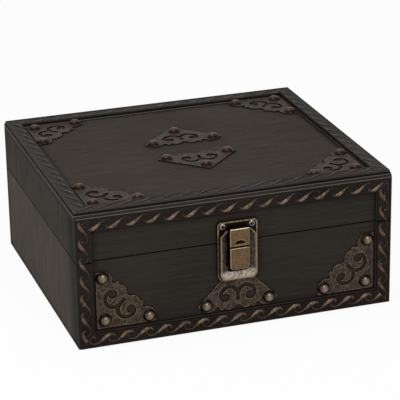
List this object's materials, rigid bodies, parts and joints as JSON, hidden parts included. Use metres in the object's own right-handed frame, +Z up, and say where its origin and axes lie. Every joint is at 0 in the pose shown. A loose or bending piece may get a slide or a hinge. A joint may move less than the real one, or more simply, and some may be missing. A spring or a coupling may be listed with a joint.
{
  "type": "wooden treasure chest",
  "caption": "Flat-lidded dark wooden keepsake chest with embossed frame mouldings, pierced bronze corner plates, dome nails and a sprung brass hasp latch; the lid swings up on rear hinges.",
  "frame": {"origin": "centre of the flat underside of the wooden case, on the surface that it stands on", "axes": "+X to the right as seen from the front, along the width; +Y to the back, towards the hinges; +Z up"},
  "size_m": [0.26, 0.2412, 0.1141],
  "materials": {
    "case_wood": "ebonised, rubbed satin with open grain",
    "moulding_wood": "ebonised, embossed running wave with brushed bronze highlights",
    "plate_bronze": "antiqued stamped bronze, dark in the recesses",
    "nail_bronze": "antiqued bronze, worn bright on the domes",
    "latch_brass": "antiqued brass, bright worn edges",
    "latch_steel": "plain bright steel",
    "hinge_brass": "antiqued brass"
  },
  "bodies": {
    "base": {"base_front_board": "case_wood", "base_back_board": "case_wood", "base_left_board": "case_wood", "base_right_board": "case_wood", "base_bottom_panel": "case_wood", "front_bottom_moulding": "moulding_wood", "front_left_lower_moulding": "moulding_wood", "front_right_lower_moulding": "moulding_wood", "front_left_corner_plate": "plate_bronze", "front_right_corner_plate": "plate_bronze", "front_centre_plate": "plate_bronze", "base_dome_nails": "nail_bronze", "latch_base_plate": "latch_brass", "latch_frame": "latch_brass", "latch_rivets": "latch_steel", "latch_spring": "latch_steel", "latch_hook": "latch_steel", "left_hinge_lower_leaf": "hinge_brass", "right_hinge_lower_leaf": "hinge_brass", "left_hinge_pin": "hinge_brass", "right_hinge_pin": "hinge_brass", "base_hinge_screws": "hinge_brass"},
    "lid": {"lid_front_rail": "case_wood", "lid_back_rail": "case_wood", "lid_left_rail": "case_wood", "lid_right_rail": "case_wood", "lid_top_panel": "case_wood", "front_left_upper_moulding": "moulding_wood", "front_right_upper_moulding": "moulding_wood", "front_top_moulding": "moulding_wood", "top_front_moulding": "moulding_wood", "top_back_moulding": "moulding_wood", "top_left_moulding": "moulding_wood", "top_right_moulding": "moulding_wood", "lid_front_left_corner_plate": "plate_bronze", "lid_front_right_corner_plate": "plate_bronze", "lid_back_left_corner_plate": "plate_bronze", "lid_back_right_corner_plate": "plate_bronze", "lid_centre_front_plate": "plate_bronze", "lid_centre_back_plate": "plate_bronze", "lid_dome_nails": "nail_bronze", "strike_plate": "latch_brass", "strike_screws": "latch_steel", "hasp_pin": "latch_steel", "left_hinge_upper_leaf": "hinge_brass", "right_hinge_upper_leaf": "hinge_brass", "lid_hinge_screws": "hinge_brass"},
    "hasp": {"hasp_flap": "latch_brass"},
    "catch": {"latch_slide": "latch_brass"}
  },
  "joints": [
    {"name": "lid_hinge", "type": "hinge", "parent": "base", "child": "lid", "pos_m": [0, 0.1168, 0.072], "axis": [-1, 0, 0], "range_deg": [0, 105]},
    {"name": "hasp_flap_hinge", "type": "hinge", "parent": "lid", "child": "hasp", "pos_m": [0, -0.1188, 0.0818], "axis": [-1, 0, 0], "range_deg": [0, 90]},
    {"name": "catch_slide", "type": "slide", "parent": "base", "child": "catch", "axis": [0, 0, -1], "range_m": [0, 0.002], "stiffness_N_per_m": 400, "springref_m": -0.003, "deforming": ["latch_spring"]}
  ]
}
